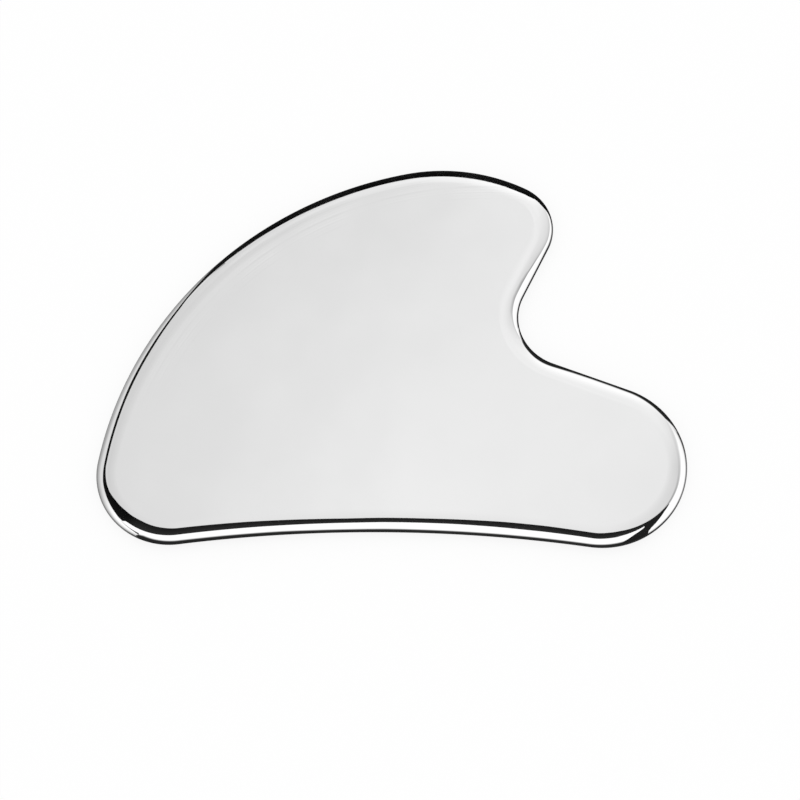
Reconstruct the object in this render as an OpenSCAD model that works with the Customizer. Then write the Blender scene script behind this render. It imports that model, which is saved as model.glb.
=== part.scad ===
// Gua sha scraper: one flat plate of stainless steel with a rounded, polished rim.
// It lies on one face at z = 0 with its long side along X, and the origin is under the middle of
// its outline. Both faces are alike, so it can be turned over.
//
// The outline is a closed chain in which each stretch is tangent to the next. Seen from above and
// counter-clockwise, it runs: heel, waist, toe, shoulder, jaw, neck, tip, crown, spine.

/* [Plate] */
// Length of the plate, from the heel to the toe
plate_length = 90; // [80:0.5:100]
// Width of the plate, from the toe up to the crown
plate_width = 63; // [58:0.5:70]
// Thickness of the plate between its two flat faces
plate_thickness = 3; // [2:0.1:6]

/* [Lobes] */
// Radius of the heel, the lobe on the left
heel_radius = 11.3; // [8:0.1:16]
// How much higher the heel ends than the toe
heel_lift = 0.5; // [0:0.1:5]
// Radius of the toe, the broad lobe on the right
toe_radius = 13.2; // [10:0.1:16]
// Radius of the tip, the small lobe at the upper right
tip_radius = 7.7; // [6:0.1:10]
// Radius of the crown, the curve that leads from the tip to the spine
crown_radius = 28.5; // [22:0.5:32]
// Angle above the X axis at which the tip hands over to the crown
crown_angle = 62.5; // [55:0.5:75]
// Radius of the spine, the long curve from the crown down to the heel
spine_radius = 60; // [55:1:90]

/* [Hollows] */
// Radius of the waist, the long shallow hollow between the heel and the toe
waist_radius = 225; // [100:5:500]
// Radius of the jaw, the deep hollow between the toe and the tip
jaw_radius = 8.2; // [7:0.1:10]
// Length of the shoulder, the straight stretch from the toe to the jaw
shoulder_length = 12.5; // [8:0.1:16]
// Slope of the shoulder as it falls from the jaw to the toe, in degrees
shoulder_slope = 21; // [16:0.5:30]
// Lean of the neck, the straight stretch from the jaw to the tip, in degrees from upright
neck_lean = 26; // [15:0.5:32]

/* [Rim] */
// Depth to which each face rolls down before the nose, the rounded middle of the rim, takes over
roll_depth = 0.2; // [0.1:0.05:0.4]
// Radius with which each face rolls down
roll_radius = 10; // [5:0.5:20]

/* [Hidden] */

// Fineness of the mesh: how far a chord may lie inside its arc along the outline, the turn
// between two rows of points around the nose, and the rows on each roll
chord_error = 0.01;
nose_step = 10;
roll_rows = 3;

// ---- Rim section ----
// It is followed from one flat face to the other by its tilt, the angle between straight up and
// the way the surface faces: 0 on the upper face, 90 at the outermost point, 180 underneath.

nose_radius = plate_thickness / 2 - roll_depth;
// The roll's centre is under the edge of the flat face, and its arc is tangent to the nose's
roll_to_nose = roll_radius - nose_radius;
roll_rise = roll_radius - plate_thickness / 2;
roll_run = sqrt(roll_to_nose * roll_to_nose - roll_rise * roll_rise);
roll_turn = asin(roll_run / roll_to_nose);
// Distance from the outline to the edge of the flat face
flat_inset = nose_radius + roll_run;

nose_turn = 180 - 2 * roll_turn;
nose_rows = ceil(nose_turn / nose_step);
tilts = [
    for (i = [0:roll_rows]) roll_turn * i / roll_rows,
    for (i = [1:nose_rows - 1]) roll_turn + nose_turn * i / nose_rows,
    for (i = [roll_rows:-1:0]) 180 - roll_turn * i / roll_rows
];

// Where the section passes at a tilt: [inset from the outline, height]
function section_point(tilt) =
    tilt < roll_turn ? roll_point(tilt)
    : tilt > 180 - roll_turn ? turned_over(roll_point(180 - tilt))
    : [nose_radius * (1 - sin(tilt)), plate_thickness / 2 + nose_radius * cos(tilt)];
function roll_point(tilt) =
    [flat_inset - roll_radius * sin(tilt), plate_thickness - roll_radius * (1 - cos(tilt))];
function turned_over(point) = [point.x, plate_thickness - point.y];

// ---- Outline ----
// A place on it is known by its facing, the direction in which the rim looks outwards there.

function unit(angle) = [cos(angle), sin(angle)];
function direction(vector) = atan2(vector.y, vector.x);

// Direction in which the outline runs, counter-clockwise, where it faces an angle
function along(facing) = unit(facing + 90);

// Centre of an arc that is tangent to two circles. A hollow arc has a negative radius.
// The centre lies to the left of the line from the first circle to the second.
function bridge_centre(first, first_radius, second, second_radius, radius) =
    let(
        gap = norm(second - first),
        line = direction(second - first),
        reach = abs(radius - first_radius),
        other_reach = abs(radius - second_radius),
        run = (reach * reach - other_reach * other_reach + gap * gap) / (2 * gap),
        rise = sqrt(reach * reach - run * run)
    )
    first + run * unit(line) + rise * unit(line + 90);

// Stops along an arc, each [place, facing]. The next stretch makes the stop where this one ends.
function arc_stops(centre, radius, from, to) =
    let(
        turn = radius > 0 ? whole_turn(to - from) : -whole_turn(from - to),
        count = ceil(abs(turn) / (2 * acos(1 - chord_error / abs(radius))))
    )
    [for (i = [0:count - 1]) arc_stop(centre, radius, from + turn * i / count)];
function arc_stop(centre, radius, facing) = [centre + radius * unit(facing), facing];
function whole_turn(angle) = (angle % 360 + 360) % 360;

heel_centre = [heel_radius - plate_length / 2, heel_radius + heel_lift - plate_width / 2];
toe_centre = [plate_length / 2 - toe_radius, toe_radius - plate_width / 2];

shoulder_facing = 90 - shoulder_slope;
neck_facing = -neck_lean;
jaw_centre = toe_centre
    + (toe_radius + jaw_radius) * unit(shoulder_facing)
    + shoulder_length * along(shoulder_facing);

// The crown reaches the plate's full width, which sets how long the neck is
tip_to_crown = (tip_radius - crown_radius) * unit(crown_angle);
neck_start_to_crown = tip_to_crown - (jaw_radius + tip_radius) * unit(neck_facing);
neck_rise = plate_width / 2 - crown_radius - jaw_centre.y - neck_start_to_crown.y;
neck_length = neck_rise / along(neck_facing).y;
crown_centre = jaw_centre + neck_start_to_crown + neck_length * along(neck_facing);
tip_centre = crown_centre - tip_to_crown;

waist_centre = bridge_centre(toe_centre, toe_radius, heel_centre, heel_radius, -waist_radius);
spine_centre = bridge_centre(crown_centre, crown_radius, heel_centre, heel_radius, spine_radius);

// Facings where two arcs meet
heel_to_waist = direction(waist_centre - heel_centre);
waist_to_toe = direction(waist_centre - toe_centre);
crown_to_spine = direction(crown_centre - spine_centre);
spine_to_heel = direction(heel_centre - spine_centre);

outline = [
    each arc_stops(heel_centre, heel_radius, spine_to_heel, heel_to_waist),
    each arc_stops(waist_centre, -waist_radius, heel_to_waist, waist_to_toe),
    each arc_stops(toe_centre, toe_radius, waist_to_toe, shoulder_facing),
    arc_stop(toe_centre, toe_radius, shoulder_facing),
    each arc_stops(jaw_centre, -jaw_radius, shoulder_facing, neck_facing),
    arc_stop(jaw_centre, -jaw_radius, neck_facing),
    each arc_stops(tip_centre, tip_radius, neck_facing, crown_angle),
    each arc_stops(crown_centre, crown_radius, crown_angle, crown_to_spine),
    each arc_stops(spine_centre, spine_radius, crown_to_spine, spine_to_heel)
];

// ---- Plate ----

// Skin swept around the outline: one rib of points at each stop, and a flat lid on each side
module swept_plate() {
    section = [for (tilt = tilts) section_point(tilt)];
    rows = len(section);
    stops = len(outline);
    points = [
        for (stop = outline)
            for (point = section)
                [each stop[0] - point[0] * unit(stop[1]), point[1]]
    ];
    skin = [
        for (i = [0:stops - 1])
            for (j = [0:rows - 2])
                let(here = i * rows + j, next = (i + 1) % stops * rows + j)
                    [here, next, next + 1, here + 1]
    ];
    upper_face = [for (i = [stops - 1:-1:0]) i * rows];
    lower_face = [for (i = [0:stops - 1]) i * rows + rows - 1];
    polyhedron(points, [upper_face, lower_face, each skin], convexity = 4);
}

module scraper_plate() {
    color("gainsboro")
        swept_plate();
}

scraper_plate();
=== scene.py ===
import bisect
import math

import bpy
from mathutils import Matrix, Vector


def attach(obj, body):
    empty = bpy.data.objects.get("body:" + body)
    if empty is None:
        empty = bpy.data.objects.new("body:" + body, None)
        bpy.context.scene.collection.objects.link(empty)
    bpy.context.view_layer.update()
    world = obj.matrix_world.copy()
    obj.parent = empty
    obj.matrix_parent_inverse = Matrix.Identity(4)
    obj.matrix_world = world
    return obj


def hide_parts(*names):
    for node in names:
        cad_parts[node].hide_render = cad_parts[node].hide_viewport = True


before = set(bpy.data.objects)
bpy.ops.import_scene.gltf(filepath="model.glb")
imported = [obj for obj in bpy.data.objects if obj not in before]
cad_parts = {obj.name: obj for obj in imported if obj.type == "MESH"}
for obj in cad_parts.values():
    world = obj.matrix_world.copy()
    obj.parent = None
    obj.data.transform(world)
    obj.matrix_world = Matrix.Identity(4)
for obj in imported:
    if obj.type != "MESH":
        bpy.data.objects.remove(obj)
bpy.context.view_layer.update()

# Gua sha scraper: one plate of polished steel, in a studio of cards that only its reflections show.
# Lengths are in millimetres, times MM where Blender takes them in metres, and angles in degrees.
MM = 0.001

# ---- Plate, in millimetres, as part.scad has it ----
PLATE_LENGTH = 90.0
PLATE_WIDTH = 63.0
PLATE_THICKNESS = 3.0
HEEL_RADIUS = 11.3
HEEL_LIFT = 0.5
TOE_RADIUS = 13.2
TIP_RADIUS = 7.7
CROWN_RADIUS = 28.5
CROWN_ANGLE = 62.5
SPINE_RADIUS = 60.0
WAIST_RADIUS = 225.0
JAW_RADIUS = 8.2
SHOULDER_LENGTH = 12.5
SHOULDER_SLOPE = 21.0
NECK_LEAN = 26.0
ROLL_DEPTH = 0.2
ROLL_RADIUS = 10.0

# The mesh is finer than the CAD solid's, because a mirror shows every facet
CHORD_ERROR = 0.001
NOSE_STEP = 5.0
ROLL_ROWS = 8

NOSE_RADIUS = PLATE_THICKNESS / 2 - ROLL_DEPTH
ROLL_TO_NOSE = ROLL_RADIUS - NOSE_RADIUS
ROLL_RUN = math.sqrt(ROLL_TO_NOSE ** 2 - (ROLL_RADIUS - PLATE_THICKNESS / 2) ** 2)
ROLL_TURN = math.degrees(math.asin(ROLL_RUN / ROLL_TO_NOSE))
FLAT_INSET = NOSE_RADIUS + ROLL_RUN
SHOULDER_FACING = 90 - SHOULDER_SLOPE
NECK_FACING = -NECK_LEAN


def unit(angle):
    """The direction at an angle from the X axis."""
    return Vector((math.cos(math.radians(angle)), math.sin(math.radians(angle))))


def facing_of(vector):
    return math.degrees(math.atan2(vector.y, vector.x))


def bridge_centre(first, first_radius, second, second_radius, radius):
    """Centre of an arc that is tangent to two circles, to the left of the line between them."""
    gap = (second - first).length
    line = facing_of(second - first)
    reach, other_reach = abs(radius - first_radius), abs(radius - second_radius)
    run = (reach ** 2 - other_reach ** 2 + gap ** 2) / (2 * gap)
    return first + run * unit(line) + math.sqrt(reach ** 2 - run ** 2) * unit(line + 90)


def arc(centre, radius, start, end):
    """Stops along an arc, each (place, facing), without its end. A hollow's radius is negative."""
    turn = (end - start) % 360 if radius > 0 else -((start - end) % 360)
    step = 2 * math.degrees(math.acos(1 - CHORD_ERROR / abs(radius)))
    count = math.ceil(abs(turn) / step)
    facings = [start + turn * i / count for i in range(count)]
    return [(centre + radius * unit(f), f) for f in facings]


def plate_centres():
    """Centres of the outline's arcs: heel, waist, toe, jaw, tip, crown and spine."""
    heel = Vector((HEEL_RADIUS - PLATE_LENGTH / 2, HEEL_RADIUS + HEEL_LIFT - PLATE_WIDTH / 2))
    toe = Vector((PLATE_LENGTH / 2 - TOE_RADIUS, TOE_RADIUS - PLATE_WIDTH / 2))
    shoulder, neck = SHOULDER_FACING, NECK_FACING
    jaw = toe + (TOE_RADIUS + JAW_RADIUS) * unit(shoulder) + SHOULDER_LENGTH * unit(shoulder + 90)
    tip_to_crown = (TIP_RADIUS - CROWN_RADIUS) * unit(CROWN_ANGLE)
    neck_to_crown = tip_to_crown - (JAW_RADIUS + TIP_RADIUS) * unit(neck)
    rise = PLATE_WIDTH / 2 - CROWN_RADIUS - jaw.y - neck_to_crown.y
    crown = jaw + neck_to_crown + rise / unit(neck + 90).y * unit(neck + 90)
    tip = crown - tip_to_crown
    waist = bridge_centre(toe, TOE_RADIUS, heel, HEEL_RADIUS, -WAIST_RADIUS)
    spine = bridge_centre(crown, CROWN_RADIUS, heel, HEEL_RADIUS, SPINE_RADIUS)
    return heel, waist, toe, jaw, tip, crown, spine


def plate_outline():
    """The closed chain of arcs and straights, counter-clockwise from the heel."""
    heel, waist, toe, jaw, tip, crown, spine = plate_centres()
    shoulder, neck = SHOULDER_FACING, NECK_FACING
    to_waist, to_toe = facing_of(waist - heel), facing_of(waist - toe)
    to_spine, to_heel = facing_of(crown - spine), facing_of(heel - spine)
    stretches = (
        ("heel", arc(heel, HEEL_RADIUS, to_heel, to_waist)),
        ("waist", arc(waist, -WAIST_RADIUS, to_waist, to_toe)),
        ("toe", arc(toe, TOE_RADIUS, to_toe, shoulder)),
        ("shoulder", [(toe + TOE_RADIUS * unit(shoulder), shoulder)]),
        ("jaw", arc(jaw, -JAW_RADIUS, shoulder, neck)),
        ("neck", [(jaw - JAW_RADIUS * unit(neck), neck)]),
        ("tip", arc(tip, TIP_RADIUS, neck, CROWN_ANGLE)),
        ("crown", arc(crown, CROWN_RADIUS, CROWN_ANGLE, to_spine)),
        ("spine", arc(spine, SPINE_RADIUS, to_spine, to_heel)),
    )
    return [(place, facing, name) for name, stops in stretches for place, facing in stops]


def section_point(tilt):
    """Where the rim's section passes at a tilt from straight up: (inset from the outline, height)."""
    if tilt > 90:
        inset, height = section_point(180 - tilt)
        return inset, PLATE_THICKNESS - height
    lean = unit(tilt)
    if tilt < ROLL_TURN:
        return FLAT_INSET - ROLL_RADIUS * lean.y, PLATE_THICKNESS - ROLL_RADIUS * (1 - lean.x)
    return NOSE_RADIUS * (1 - lean.y), PLATE_THICKNESS / 2 + NOSE_RADIUS * lean.x


def section_tilts():
    """Tilts of the rows of points round the rim, from the upper face to the lower one."""
    nose_turn = 180 - 2 * ROLL_TURN
    nose_rows = math.ceil(nose_turn / NOSE_STEP)
    roll = [ROLL_TURN * i / ROLL_ROWS for i in range(ROLL_ROWS + 1)]
    nose = [ROLL_TURN + nose_turn * i / nose_rows for i in range(1, nose_rows)]
    return roll + nose + [180 - tilt for tilt in reversed(roll)]


def mesh_object(name, points, faces, material):
    mesh = bpy.data.meshes.new(name)
    mesh.from_pydata(points, [], faces)
    mesh.materials.append(material)
    mesh.shade_smooth()
    made = bpy.data.objects.new(name, mesh)
    bpy.context.scene.collection.objects.link(made)
    return made


def make_plate(material):
    """The plate: the rim's section swept round the outline, and a flat lid on each side."""
    tilts = section_tilts()
    outline = plate_outline()
    rows, stops = len(tilts), len(outline)
    points, normals = [], []
    for place, facing, _ in outline:
        out = unit(facing)
        for tilt in tilts:
            inset, height = section_point(tilt)
            spot = place - inset * out
            points.append((spot.x * MM, spot.y * MM, height * MM))
            lean = unit(tilt)
            normals.append((out.x * lean.y, out.y * lean.y, lean.x))
    faces = []
    for i in range(stops):
        for j in range(rows - 1):
            here, after = i * rows + j, (i + 1) % stops * rows + j
            faces.append((here, here + 1, after + 1, after))
    faces.append([i * rows for i in range(stops)])
    faces.append([i * rows + rows - 1 for i in reversed(range(stops))])
    plate = mesh_object("polished_plate", points, faces, material)
    plate.data.normals_split_custom_set_from_vertices(normals)
    return plate


# ---- Materials ----

def new_material(name):
    made = bpy.data.materials.new(name)
    made.use_nodes = True
    return made, made.node_tree


def node(tree, kind, label, values=None, **settings):
    """A named node, with its settings and the values of its own sockets, by name or number."""
    made = tree.nodes.new(kind)
    made.name = made.label = label
    for setting, value in settings.items():
        setattr(made, setting, value)
    for socket, value in (values or {}).items():
        made.inputs[socket].default_value = value
    return made


def feed(tree, socket, term):
    """Put a term into a socket. It is a node's output or a plain number."""
    if isinstance(term, float):
        socket.default_value = term
    else:
        tree.links.new(term, socket)


def maths(tree, label, operation, *terms):
    """A number worked out from terms."""
    made = node(tree, "ShaderNodeMath", label, operation=operation)
    for socket, term in zip(made.inputs, terms):
        feed(tree, socket, term)
    return made.outputs[0]


def spread(tree, label, source, low, high, from_low=0.0, from_high=1.0, smooth=False):
    """A number from one range set out over another, and held at its ends."""
    made = node(tree, "ShaderNodeMapRange", label,
                {"From Min": from_low, "From Max": from_high, "To Min": low, "To Max": high},
                interpolation_type="SMOOTHSTEP" if smooth else "LINEAR")
    tree.links.new(source, made.inputs["Value"])
    return made.outputs["Result"]


def noise(tree, label, place, density, detail, roughness=0.5):
    made = node(tree, "ShaderNodeTexNoise", label,
                {"Scale": density, "Detail": detail, "Roughness": roughness})
    tree.links.new(place, made.inputs["Vector"])
    return made.outputs["Fac"]


def flat_vector(tree, label, x, y):
    """A vector of two terms, with no height."""
    made = node(tree, "ShaderNodeCombineXYZ", label)
    feed(tree, made.inputs["X"], x)
    feed(tree, made.inputs["Y"], y)
    return made.outputs["Vector"]


def relief(tree, label, height, distance, below=None, invert=False):
    """Relief of up to a distance in metres, on top of the relief below it."""
    made = node(tree, "ShaderNodeBump", label, {"Strength": 1.0, "Distance": distance}, invert=invert)
    tree.links.new(height, made.inputs["Height"])
    if below:
        tree.links.new(below, made.inputs["Normal"])
    return made.outputs["Normal"]


# Clouds in the steel, waves that the polishing wheel leaves, and buffing lines: how many there are
# to a metre, about
CLOUD_DENSITY = 110.0
WAVE_DENSITY = 95.0
LINE_DENSITY = 2400.0

# Where the buffing lines show: how far in from the spine's circle they start and are in full, and
# between which bearings from its middle they fade out
LINES_START = 7.5
LINES_FULL = 4.0
LINES_FADE = 143
LINES_END = 163

# Hairline marks: their density along the plate, which is the way they run, and across it
HAIR_DENSITY = (70, 4500, 1)

# A place in the noise behind the lines, in metres, and a turn of the noise behind the marks, in
# radians. They only choose which lines and marks there are.
LINES_CHOICE = 0.003
HAIR_CHOICE = (0, 0, 0.6)

# Tone in the darker and in the lighter clouds
DARKER_STEEL = (0.830, 0.830, 0.830, 1)
LIGHTER_STEEL = (0.900, 0.900, 0.900, 1)

# Roughness in the clear and in the clouded patches, and what marks and lines add to it
CLEAR_ROUGHNESS = 0.015
CLOUD_ROUGHNESS = 0.05
MARK_ROUGHNESS = 0.06
LINE_ROUGHNESS = 0.03

# Heights of the waves and lines and depth of the marks, in metres
WAVE_HEIGHT = 4e-5
LINE_HEIGHT = 2.5e-6
MARK_DEPTH = 3e-7


def buffing_lines(tree, place, waves):
    """Rings round the middle of the spine's arc, and how strongly they show at each place: in patches
    of a belt near the upper part of the long curved side. A speck of them also shows at the heel's
    lower left edge, where the bearing passes from 180 to -180 degrees."""
    centre = plate_centres()[-1] * MM
    from_centre = node(tree, "ShaderNodeVectorMath", "from_centre", {1: (centre.x, centre.y, 0)},
                       operation="SUBTRACT")
    tree.links.new(place, from_centre.inputs[0])
    apart = node(tree, "ShaderNodeSeparateXYZ", "apart")
    tree.links.new(from_centre.outputs["Vector"], apart.inputs["Vector"])
    x, y = apart.outputs["X"], apart.outputs["Y"]
    length = node(tree, "ShaderNodeVectorMath", "ring", operation="LENGTH")
    tree.links.new(flat_vector(tree, "across", x, y), length.inputs[0])
    ring = length.outputs["Value"]
    bearing = maths(tree, "bearing", "ARCTAN2", y, x)
    lines_at = flat_vector(tree, "lines_at", ring, LINES_CHOICE)
    lines = noise(tree, "lines", lines_at, LINE_DENSITY, 2.0, 0.6)

    start, full = (SPINE_RADIUS - LINES_START) * MM, (SPINE_RADIUS - LINES_FULL) * MM
    near_edge = spread(tree, "near_edge", ring, 0, 1, start, full, smooth=True)
    fade, end = math.radians(LINES_FADE), math.radians(LINES_END)
    upper_part = spread(tree, "upper_part", bearing, 1, 0, fade, end, smooth=True)
    patches = spread(tree, "patches", waves, 0.2, 1, 0.4, 0.6, smooth=True)
    belt = maths(tree, "belt", "MULTIPLY", near_edge, upper_part)
    return lines, maths(tree, "lines_shown", "MULTIPLY", belt, patches)


def hairline_marks(tree, place):
    drawn_out = node(tree, "ShaderNodeMapping", "drawn_out",
                     {"Scale": HAIR_DENSITY, "Rotation": HAIR_CHOICE})
    tree.links.new(place, drawn_out.inputs["Vector"])
    hairs = noise(tree, "hairs", drawn_out.outputs["Vector"], 1.0, 2.0)
    return spread(tree, "marks", hairs, 0, 1, 0.68, 0.76, smooth=True)


def steel_material():
    """Hand-polished steel: a mirror with faint waves, buffing lines along the long curved side,
    cloudy tone and a few hairline marks. The lines are real marks, but their tone is partly painted
    sheen."""
    made, tree = new_material("polished_steel_looks")
    shader = tree.nodes["Principled BSDF"]
    shader.inputs["Metallic"].default_value = 1.0
    place = node(tree, "ShaderNodeTexCoord", "place").outputs["Object"]
    clouds = noise(tree, "clouds", place, CLOUD_DENSITY, 2.0)
    waves = noise(tree, "waves", place, WAVE_DENSITY, 1.0, 0.4)
    lines, lines_shown = buffing_lines(tree, place, waves)
    marks = hairline_marks(tree, place)

    # Tone, from the clouds and the lines. The clouds are the steel's own tone. The lines are real
    # buffing marks, and their lighter and darker tone is painted sheen, standing in for the light they
    # scatter. The mix node's two colours are its sockets 6 and 7, and the mixed colour is its output 2.
    cloud_tone = spread(tree, "cloud_tone", clouds, 0.4, 0.6, 0.3, 0.7, smooth=True)
    line_contrast = spread(tree, "line_contrast", lines, -0.5, 0.4, 0.35, 0.65)
    # Painted sheen: the buffing lines' lighter and darker tone, where they show
    line_sheen_tone = maths(tree, "line_sheen_tone", "MULTIPLY", lines_shown, line_contrast)
    tone = node(tree, "ShaderNodeMix", "tone", {6: DARKER_STEEL, 7: LIGHTER_STEEL}, data_type="RGBA")
    tree.links.new(maths(tree, "shade", "ADD", cloud_tone, line_sheen_tone), tone.inputs[0])
    tree.links.new(tone.outputs[2], shader.inputs["Base Color"])

    # Roughness: lowest in the clear patches, higher in the clouds, the marks and the lines
    haze = spread(tree, "haze", clouds, CLEAR_ROUGHNESS, CLOUD_ROUGHNESS, 0.3, 0.7)
    worn = maths(tree, "worn", "MULTIPLY_ADD", marks, MARK_ROUGHNESS, haze)
    buffed = maths(tree, "buffed", "MULTIPLY_ADD", lines_shown, LINE_ROUGHNESS, worn)
    tree.links.new(buffed, shader.inputs["Roughness"])

    # Relief: the waves, the lines on them, and the marks cut into both
    line_height = maths(tree, "line_height", "MULTIPLY", lines, lines_shown)
    waved = relief(tree, "wave_bump", waves, WAVE_HEIGHT)
    lined = relief(tree, "line_bump", line_height, LINE_HEIGHT, waved)
    marked = relief(tree, "mark_bump", marks, MARK_DEPTH, lined, invert=True)
    tree.links.new(marked, shader.inputs["Normal"])
    return made


def card_material():
    """Emission whose strength is kept at each point of the card."""
    made, tree = new_material("studio_card")
    tree.nodes.clear()
    kept = node(tree, "ShaderNodeAttribute", "kept", attribute_name="glow")
    glow = node(tree, "ShaderNodeEmission", "glow")
    out = node(tree, "ShaderNodeOutputMaterial", "out")
    tree.links.new(kept.outputs["Fac"], glow.inputs["Strength"])
    tree.links.new(glow.outputs["Emission"], out.inputs["Surface"])
    return made


# How much of the floor is a plain white glow where the camera or a mirror looks at it. The rest is
# paint, which keeps a faint shadow.
FLOOR_GLOW = 0.85
FLOOR_PAINT = (0.97, 0.97, 0.97, 1)


def floor_material():
    made, tree = new_material("pale_floor")
    tree.nodes.clear()
    paint = node(tree, "ShaderNodeBsdfDiffuse", "paint", {"Color": FLOOR_PAINT})
    white = node(tree, "ShaderNodeEmission", "white", {"Strength": 1.0})
    rays = node(tree, "ShaderNodeLightPath", "rays").outputs
    mix = node(tree, "ShaderNodeMixShader", "mix")
    out = node(tree, "ShaderNodeOutputMaterial", "out")
    seen = maths(tree, "seen", "MAXIMUM", rays["Is Camera Ray"], rays["Is Glossy Ray"])
    tree.links.new(maths(tree, "share", "MULTIPLY", seen, FLOOR_GLOW), mix.inputs["Fac"])
    tree.links.new(paint.outputs["BSDF"], mix.inputs[1])
    tree.links.new(white.outputs["Emission"], mix.inputs[2])
    tree.links.new(mix.outputs["Shader"], out.inputs["Surface"])
    return made


# ---- Studio cards: seen only in the plate's reflections ----

# Distance of the sky, in metres, and into how many parts each gap of its table is cut
SKY_DISTANCE = 4.0
SKY_FINENESS = 10

# Distances from the middle of the rim's nose to the dark cards and, behind them, the pale ones,
# and the tilt at which both meet the floor
DARK_REACH = 3.95
PALE_REACH = 4.05
FLOOR_TILT = 113

# How far apart a card's points along the rim are at most, and into how many parts the gap from one
# of a station's places to the next is cut
CARD_STEP = 0.7
CARD_FINENESS = 5

# The strip of painted shade on the floor: how high it lies, and how far it runs outside the outline
STRIP_HEIGHT = 0.02
STRIP_WIDTH = 2.45

# Glow of the white parts of the cards. The world's is 1.
WHITE = 1.2


def make_card(name, points, glows, width):
    """Card through rows of points, with the glow of each point. The width is the points in a row."""
    faces = [(i + j, i + j + 1, i + width + j + 1, i + width + j)
             for i in range(0, len(points) - width, width) for j in range(width - 1)]
    card = mesh_object(name, points, faces, CARD)
    kept = card.data.attributes.new("glow", "FLOAT", "POINT")
    kept.data.foreach_set("value", glows)
    card.visible_camera = False
    card.visible_diffuse = False
    card.visible_transmission = False
    card.visible_volume_scatter = False
    card.visible_shadow = False


def between(first, second, share):
    """The numbers at a share of the way from the first ones to the second ones."""
    return [a + (b - a) * share for a, b in zip(first, second)]


def finer(line, parts):
    """A line of points with each gap cut into equal parts."""
    done = [between(a, b, i / parts) for a, b in zip(line, line[1:]) for i in range(parts)]
    return done + [list(line[-1])]


def overhead(east, north):
    """Direction of a point on a chart of the sky above the plate, in degrees from straight up."""
    polar = math.hypot(east, north)
    if polar == 0:
        return Vector((0, 0, 1))
    side = math.sin(math.radians(polar)) / polar
    return Vector((east * side, north * side, math.cos(math.radians(polar))))


def sky_card(name, easts, rows):
    """Card on a dome around the plate. Each row is its place to the north on the sky's chart, and
    then its glow at each of the places to the east."""
    lines = [finer([(east, north, glow) for east, glow in zip(easts, glows)], SKY_FINENESS)
             for north, *glows in rows]
    columns = [finer(column, SKY_FINENESS) for column in zip(*lines)]
    spots = [spot for row in zip(*columns) for spot in row]
    points = [overhead(east, north) * SKY_DISTANCE for east, north, _ in spots]
    make_card(name, points, [glow for _, _, glow in spots], len(columns))


def measured_outline():
    """Stops of the outline, once round and back to the first: (length so far, place, facing), and
    the lengths at which each stretch starts and ends. Facings run on through 360."""
    stops = plate_outline()
    measured, spans = [(0.0, *stops[0][:2])], {}
    for (_, _, name), (place, facing, _) in zip(stops, stops[1:] + stops[:1]):
        gone, last_place, last_facing = measured[-1]
        turn = (facing - last_facing + 180) % 360 - 180
        measured.append((gone + (place - last_place).length, place, last_facing + turn))
        spans[name] = (spans.get(name, (gone,))[0], measured[-1][0])
    return measured, spans


def rim_at(length):
    """Place and facing on the outline at a length along it from the heel's start."""
    length %= MEASURED[-1][0]
    after = min(bisect.bisect_right([gone for gone, _, _ in MEASURED], length), len(MEASURED) - 1)
    (gone, place, facing), (end, end_place, end_facing) = MEASURED[after - 1:after + 1]
    share = (length - gone) / (end - gone)
    return place.lerp(end_place, share), facing + (end_facing - facing) * share


def filled_in(stations):
    """The lengths and rows of a card's stations, with more between them."""
    lengths, rows = [], []
    for stretch, share, *row in stations:
        start, end = SPANS[stretch]
        length = start + (end - start) * share
        if rows:
            last_length, last_row = lengths[-1], rows[-1]
            if length < last_length:
                length += MEASURED[-1][0]
            steps = math.ceil((length - last_length) / CARD_STEP)
            for i in range(1, steps):
                lengths.append(last_length + (length - last_length) * i / steps)
                rows.append([between(a, b, i / steps) for a, b in zip(last_row, row)])
        lengths.append(length)
        rows.append(row)
    return zip(lengths, rows)


def ribbon(name, stations, section, parts):
    """Card that follows the rim. Each station is (stretch, share of it, then (place across the card,
    glow) for each row), counter-clockwise. The section turns a place across the card into
    (distance outside the outline, height)."""
    points, glows = [], []
    for length, row in filled_in(stations):
        place, facing = rim_at(length)
        line = finer(row, parts)
        for across, glow in line:
            out, height = section(across)
            spot = place + out * unit(facing)
            points.append((spot.x * MM, spot.y * MM, height * MM))
            glows.append(glow)
    make_card(name, points, glows, len(line))


def rim_card(name, reach, stations):
    """Card bent round the rim, at a reach from the middle of its nose. A place across is a tilt."""
    def section(tilt):
        turn = math.radians(tilt)
        return reach * math.sin(turn) - NOSE_RADIUS, reach * math.cos(turn) + PLATE_THICKNESS / 2
    ribbon(name, stations, section, CARD_FINENESS)


def floor_card(name, stations):
    """Card on the floor. A place across is a distance outside the outline."""
    ribbon(name, stations, lambda out: (out, STRIP_HEIGHT), 1)


def band(inner_glow, outer_glow, stations):
    """Stations of a card with one glow along its inner edge and another along its outer edge. Each
    is given as (stretch, share of it, inner tilt, outer tilt)."""
    return [(stretch, share, (inner, inner_glow), (outer, outer_glow))
            for stretch, share, inner, outer in stations]


def dusk(start, end):
    """Rows between two tilts in which white goes dark."""
    shades = ((0, WHITE), (.25, .95), (.45, .55), (.65, .22), (.82, .08), (1, .02))
    return [(start + (end - start) * share, glow) for share, glow in shades]


def neck_rows(inner, top, outer, far, near, seam):
    """Rows over the neck's roll and down its nose: grey from the inner tilt, by its glow far from the
    white and near it, then a seam, white from the top tilt on, and dark beyond the outer tilt."""
    shades = ((-38, .92), (-28, .945), (-17, .98), (-8, .965), (0, far), (top - 18, near))
    roll = [(max(inner, tilt), glow) for tilt, glow in shades]
    nose = [(top - 10, seam), (top - 4, seam), (top + 1, WHITE), (outer - 10, 1.1), (outer, .4),
            (outer + 6, .08), (FLOOR_TILT, .02)]
    return roll + nose


CARD = card_material()
MEASURED, SPANS = measured_outline()

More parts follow.
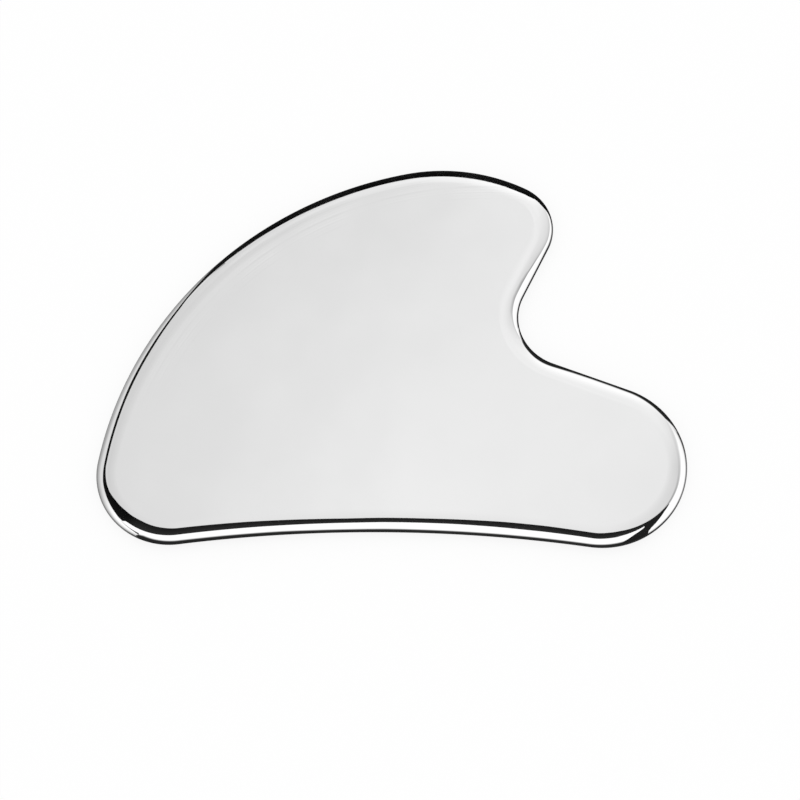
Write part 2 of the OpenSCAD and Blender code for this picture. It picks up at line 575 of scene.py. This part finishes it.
# The sky: soft grey, darker to the left and lighter towards the back
SKY_EAST = (-90, -50, -27, -19, -12, -5, 0, 5, 14, 26, 55, 90)
sky_card("sky", SKY_EAST, (
    (-95, .58, .60, .65, .66, .68, .70, .70, .70, .72, .75, .75, .70),
    (-45, .58, .66, .74, .75, .78, .80, .81, .83, .85, .87, .85, .80),
    (-5, .58, .70, .80, .77, .80, .84, .86, .88, .86, .84, .88, .85),
    (20, .58, .73, .80, .72, .77, .84, .98, .94, .82, .72, .85, .85),
    (26, .58, .74, .79, .72, .76, .79, .85, 1.0, .95, .80, .88, .86),
    (31, .58, .74, .78, .73, .76, .79, .87, .98, 1.0, .84, .88, .86),
    (35, .58, .74, .79, .75, .81, .88, .98, 1.04, 1.03, .88, .88, .86),
    (42, .58, .74, .82, .77, .82, .92, 1.03, 1.12, 1.18, 1.0, .90, .87),
    (50, .58, .72, .82, .86, .93, 1.0, 1.0, 1.05, 1.15, 1.05, .95, .88),
    (95, .58, .65, .80, .83, .88, .95, .95, .95, .95, .95, .90, .85)))

# Dark edging: past the tip, over the crown, down the spine and round the heel
rim_card("dark_back", DARK_REACH, [
    *band(.003, .01, [
        (stretch, share, top, FLOOR_TILT) for stretch, share, top in (
            ("tip", .42, 112), ("tip", .5, 100), ("tip", .55, 84), ("tip", .61, 70),
            ("tip", .66, 56), ("tip", .72, 46), ("tip", .79, 41), ("tip", .87, 32.5),
            ("tip", .94, 29.5), ("crown", .06, 28), ("crown", .32, 28), ("crown", .58, 27.5),
            ("crown", .83, 28.5), ("spine", .05, 30), ("spine", .14, 29.5), ("spine", .25, 30.5),
            ("spine", .34, 32), ("spine", .43, 34))]),
    *band(.003, .01, [
        ("spine", .46, 36, 106), ("spine", .48, 38, 95), ("spine", .5, 40, 84),
        ("spine", .52, 39, 73), ("spine", .54, 37, 63), ("spine", .57, 33, 53),
        ("spine", .6, 29.5, 44), ("spine", .65, 26.5, 37), ("spine", .7, 24, 33),
        ("spine", .78, 22, 31), ("spine", .85, 20, 28), ("spine", .92, 17.5, 25.5),
        ("heel", 0, 15.5, 23), ("heel", .09, 12.5, 22.5), ("heel", .155, 10, 23),
        ("heel", .23, 5.5, 24), ("heel", .32, -3, 27), ("heel", .42, -9.5, 33),
        ("heel", .46, -12, 38), ("heel", .51, -13.5, 38), ("heel", .53, -14, 17),
        ("heel", .545, -14.5, 14)])])

# It goes on along the waist and into the toe, a little less dark
rim_card("dark_front", DARK_REACH, [
    *band(.003, .01, [("heel", .545, -14.5, 14)]),
    *band(.006, .02, [("heel", .58, -16, 13)]),
    *band(.01, .03, [
        ("heel", .65, -17.5, 11.5), ("heel", .86, -16.5, 9), ("waist", 0, -14.5, 8.5),
        ("waist", .16, -12.5, 8.5), ("waist", .24, -10.5, 9), ("waist", .33, -8.5, 9),
        ("waist", .41, -7.5, 7.5), ("waist", .49, -9, 6), ("waist", .6, -9.5, 5.5),
        ("waist", .68, -11, 5.5), ("waist", .79, -13, 6.5), ("waist", .89, -12.5, 8),
        ("waist", .97, -10.5, 11), ("toe", .03, -9.5, 15), ("toe", .08, -10.5, 10),
        ("toe", .14, -10, 7), ("toe", .2, -6, 7), ("toe", .26, -1.5, 8), ("toe", .32, 4, 11.5),
        ("toe", .38, 9.5, 15), ("toe", .414, 14.5, 16.5)])])

# A dark card before the toe, which crosses the white of the nose
rim_card("dark_toe", DARK_REACH, band(.015, .015, [
    ("toe", share, top, bottom) for share, top, bottom in (
        (.12, 98, FLOOR_TILT), (.135, 83, FLOOR_TILT), (.15, 68, FLOOR_TILT),
        (.165, 57, FLOOR_TILT), (.18, 45, FLOOR_TILT), (.2, 32, FLOOR_TILT),
        (.22, 24.5, FLOOR_TILT), (.242, 17, FLOOR_TILT), (.254, 11, 100), (.262, 4, 75),
        (.277, 2, 58), (.307, 3, 45), (.331, 5, 35), (.349, 8, 29), (.373, 10, 21),
        (.408, 14, 17))]))

# The shoulder and the jaw: white that goes dark between two tilts
rim_card("dark_shoulder", DARK_REACH, [
    (stretch, share, *dusk(start, end), (FLOOR_TILT, .01)) for stretch, share, start, end in (
        ("toe", .75, 84, 98), ("toe", .775, 66, 88), ("toe", .8, 46, 72), ("toe", .82, 39, 52),
        ("toe", .857, 37, 49), ("toe", .916, 40, 54), ("toe", .976, 44, 64),
        ("shoulder", .25, 49, 72), ("shoulder", .5, 49, 73), ("shoulder", .75, 43, 66),
        ("jaw", 0, 35, 46), ("jaw", .095, 32.5, 43), ("jaw", .15, 32, 41), ("jaw", .25, 33, 43),
        ("jaw", .36, 40, 50), ("jaw", .43, 43, 55), ("jaw", .5, 47, 66), ("jaw", .56, 56, 84),
        ("jaw", .62, 66, 94), ("jaw", .68, 76, 101), ("jaw", .74, 94, 109))])

# The front: white from nearly straight above the rim down to a tilt, and dark a little below it
WHITE_START = 5
DUSK_WIDTH = 24
rim_card("pale_front", PALE_REACH, [
    (stretch, share, (WHITE_START, WHITE), *dusk(start, start + DUSK_WIDTH), (FLOOR_TILT, .02))
    for stretch, share, start in (
        ("heel", .66, 84), ("heel", .68, 60), ("heel", .72, 52), ("heel", .8, 59),
        ("heel", .88, 62), ("waist", 0, 65), ("waist", .05, 67), ("waist", .25, 69),
        ("waist", .33, 74), ("waist", .42, 75), ("waist", .5, 71), ("waist", .66, 74),
        ("waist", .9, 74), ("toe", 0, 74), ("toe", .08, 69), ("toe", .15, 63), ("toe", .26, 58))])

# The left: grey along the spine, which turns into white round the heel
rim_card("pale_left", PALE_REACH, [
    ("spine", .45, (31, .3), (45, .3), (60, .2), (78, .1), (98, .05), (FLOOR_TILT, .02)),
    ("spine", .5, (31, .85), (45, .80), (60, .58), (78, .42), (98, .36), (FLOOR_TILT, .2)),
    ("spine", .65, (31, .85), (45, .80), (60, .62), (78, .45), (98, .40), (FLOOR_TILT, .38)),
    ("spine", .8, (25, .86), (43, .82), (58, .68), (75, .52), (98, .44), (FLOOR_TILT, .4)),
    ("spine", .93, (19, .82), (43, .82), (58, .66), (75, .45), (98, .40), (FLOOR_TILT, .38)),
    ("heel", 0, (18, .82), (45, .82), (60, .67), (80, .50), (100, .34), (FLOOR_TILT, .3)),
    ("heel", .12, (20, .82), (45, .84), (62, .68), (82, .53), (102, .36), (FLOOR_TILT, .3)),
    ("heel", .2, (22, .82), (45, .86), (65, .68), (84, .52), (104, .37), (FLOOR_TILT, .3)),
    ("heel", .3, (24, .95), (45, .98), (65, .84), (82, .66), (102, .45), (FLOOR_TILT, .35)),
    ("heel", .38, (30, 1.1), (50, 1.15), (68, 1.0), (84, .75), (102, .5), (FLOOR_TILT, .4)),
    ("heel", .45, (36, WHITE), (50, WHITE), (65, WHITE), (82, .95), (102, .55), (FLOOR_TILT, .4)),
    *(("heel", share, (top, WHITE), (50, WHITE), (65, WHITE), (82, 1.05), (102, .6), (FLOOR_TILT, .4))
      for share, top in ((.515, 20), (.525, 8), (.66, 6)))])

# A thin dark streak in that white, which fades in and widens round the heel
rim_card("dark_wisp", DARK_REACH, [
    ("heel", share, (top, glow), (bottom, glow)) for share, top, bottom, glow in (
        (.5, 42, 48, .9), (.54, 47, 53, .5), (.59, 51, 58, .2), (.64, 53, 65, .1), (.68, 55, 76, .02))])

# The toe: grey inside, then white, which goes dark towards the floor
rim_card("pale_toe", PALE_REACH, [
    ("toe", share, *rows, (FLOOR_TILT, last)) for share, *rows, last in (
        (.25, (-6, .8), (0, .8), (5, WHITE), (80, WHITE), (98, .9), (106, .3), .05),
        (.35, (5, .76), (9, .7), (13, WHITE), (80, WHITE), (96, 1.0), (104, .35), .05),
        (.42, (10, .7), (13, .25), (18, WHITE), (80, WHITE), (94, 1.1), (104, .45), .1),
        (.50, (12, .7), (17, .45), (24, WHITE), (80, WHITE), (92, 1.0), (102, .35), .1),
        (.60, (13, .72), (19, .6), (26, WHITE), (80, 1.15), (92, .6), (100, .3), .1),
        (.68, (15, .78), (22, .72), (29, WHITE), (76, 1.05), (86, .4), (94, .12), .04),
        (.74, (20, .8), (27, .76), (37, 1.15), (68, 1.0), (78, .35), (86, .08), .02),
        (.80, (30, .83), (38, .84), (44, .95), (60, .9), (72, .4), (80, .1), .02),
        (.82, (36, .85), (42, .9), (50, 1.0), (60, .9), (72, .4), (80, .1), .02))])

# The neck, from the jaw to the tip
rim_card("pale_neck", PALE_REACH, [
    (stretch, share, *neck_rows(*values)) for stretch, share, *values in (
        ("jaw", .4, 48, 66, 98, .98, 1.0, 1.0), ("jaw", .55, 12, 68, 98, .96, .86, .78),
        ("jaw", .7, -15, 44, 88, .95, .82, .7), ("jaw", .85, -30, 29, 94, .93, .84, .6),
        ("neck", 0, -36, 24, 102, .9, .84, .5), ("neck", .3, -38, 23, 102, .86, .84, .4),
        ("neck", .5, -38, 27, 102, .86, .8, .38), ("neck", .65, -38, 36, 102, .87, .73, .36),
        ("neck", .8, -37, 44, 102, .88, .68, .46), ("neck", .95, -36, 53, 100, .89, .7, .55),
        ("tip", .15, -35, 59, 97, .9, .74, .62), ("tip", .35, -32, 62, 96, .93, .76, .68),
        ("tip", .47, -20, 66, 90, .96, .8, .7), ("tip", .57, 0, 66, 86, .98, .84, .8),
        ("tip", .66, 24, 58, 84, .97, .92, .92), ("tip", .7, 30, 52, 84, .97, 1.03, 1.05),
        ("tip", .75, 34, 48, 84, .97, 1.05, 1.1))])

# Painted shade on the floor under the rim's edge, in one strip right round: a dark card that only
# the plate's reflections show, standing in for the floor's shadow there
floor_card("painted_floor_shade", [
    (stretch, share, (-NOSE_RADIUS, glow), (STRIP_WIDTH, glow)) for stretch, share, glow in (
        ("heel", .5, .22), ("heel", .62, .12), ("heel", .7, .02), ("toe", .3, .03),
        ("toe", .4, .08), ("toe", .48, .18), ("toe", .62, .18), ("toe", .7, .01), ("jaw", .6, .01),
        ("neck", 0, .02), ("tip", .06, .01), ("tip", .24, .12), ("tip", .46, .12), ("tip", .54, .01),
        ("spine", .44, .01), ("spine", .54, .15), ("spine", .7, .25), ("heel", .5, .22))])

# ---- Floor and world ----

# Half the floor's side, in metres
FLOOR_HALF = 3
corners = [(x * FLOOR_HALF, y * FLOOR_HALF, 0) for x, y in ((-1, -1), (1, -1), (1, 1), (-1, 1))]
floor = mesh_object("floor", corners, [(0, 1, 2, 3)], floor_material())

world = bpy.data.worlds.new("studio")
world.use_nodes = True
backdrop = world.node_tree.nodes["Background"]
backdrop.inputs["Color"].default_value = (1, 1, 1, 1)
backdrop.inputs["Strength"].default_value = 1.0
bpy.context.scene.world = world

# ---- Plate ----

plate = make_plate(steel_material())
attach(plate, "root")
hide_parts("scraper_plate")

# ---- Camera ----

# The camera stands in front of the plate and is tilted this far off straight down. It aims a little
# in front of the plate's middle, so that the plate is above the middle of the picture. Places are
# in metres here.
CAMERA_TILT = math.radians(22)
CAMERA_DISTANCE = 0.5
CAMERA_AIM = Vector((0.00123, -0.00655, -0.0008))
camera_data = bpy.data.cameras.new("camera")
camera_data.lens = 145.65
camera_data.sensor_width = 36.0
camera_data.clip_start = 0.01
camera = bpy.data.objects.new("camera", camera_data)
bpy.context.scene.collection.objects.link(camera)
way_back = Vector((0, -math.sin(CAMERA_TILT), math.cos(CAMERA_TILT)))
camera.location = CAMERA_AIM + CAMERA_DISTANCE * way_back
camera.rotation_euler = (CAMERA_TILT, 0, 0)
bpy.context.scene.camera = camera

bpy.context.scene.view_settings.view_transform = "Standard"
